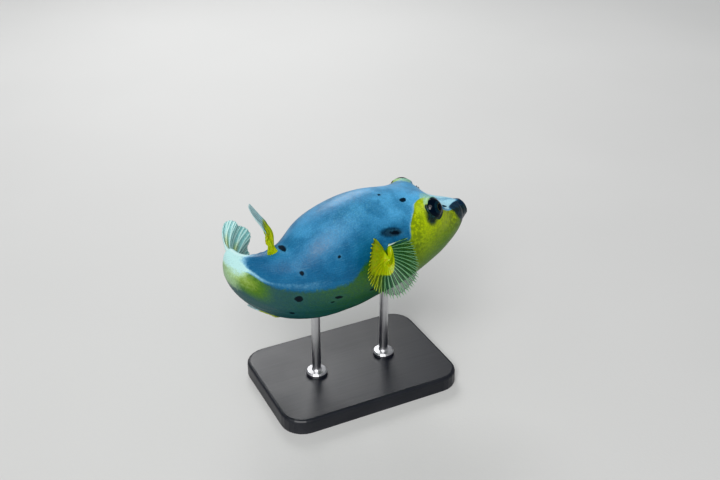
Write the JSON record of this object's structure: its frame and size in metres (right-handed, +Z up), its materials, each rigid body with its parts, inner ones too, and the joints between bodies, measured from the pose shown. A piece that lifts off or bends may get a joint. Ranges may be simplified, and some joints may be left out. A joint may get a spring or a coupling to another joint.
{
  "type": "blackspotted pufferfish display model",
  "caption": "Life-size still model of a blackspotted pufferfish, tail curled to its left, held over a flat base by two short rods.",
  "frame": {"origin": "centre of the stand base's flat underside", "axes": "+X along the fish's trunk towards its head, +Y to the fish's left, +Z up"},
  "size_m": [0.1944, 0.1355, 0.1643],
  "materials": {
    "skin": "smooth wet-looking fish skin, blue-grey back, yellow face, olive belly, a few black spots",
    "fin_membrane": "thin ribbed fin, yellow at its root",
    "pale_fin_membrane": "thin ribbed fin, white-cyan",
    "eye": "glossy cast eye",
    "dark_flesh": "satin",
    "tooth": "satin enamel",
    "painted_wood": "satin black paint",
    "brushed_steel": "brushed"
  },
  "bodies": {
    "root": {"head": "skin", "trunk": "skin", "tail": "skin", "tail_stalk": "skin", "fin_pectoral_right": "fin_membrane", "fin_pectoral_left": "fin_membrane", "fin_dorsal": "fin_membrane", "fin_anal": "fin_membrane", "fin_caudal": "pale_fin_membrane", "eye_right": "eye", "eye_left": "eye", "nasal_tentacle_right": "dark_flesh", "nasal_tentacle_left": "dark_flesh", "beak_upper": "tooth", "beak_lower": "tooth", "stand_base": "painted_wood", "stand_rod_front": "brushed_steel", "stand_rod_rear": "brushed_steel"}
  },
  "joints": []
}
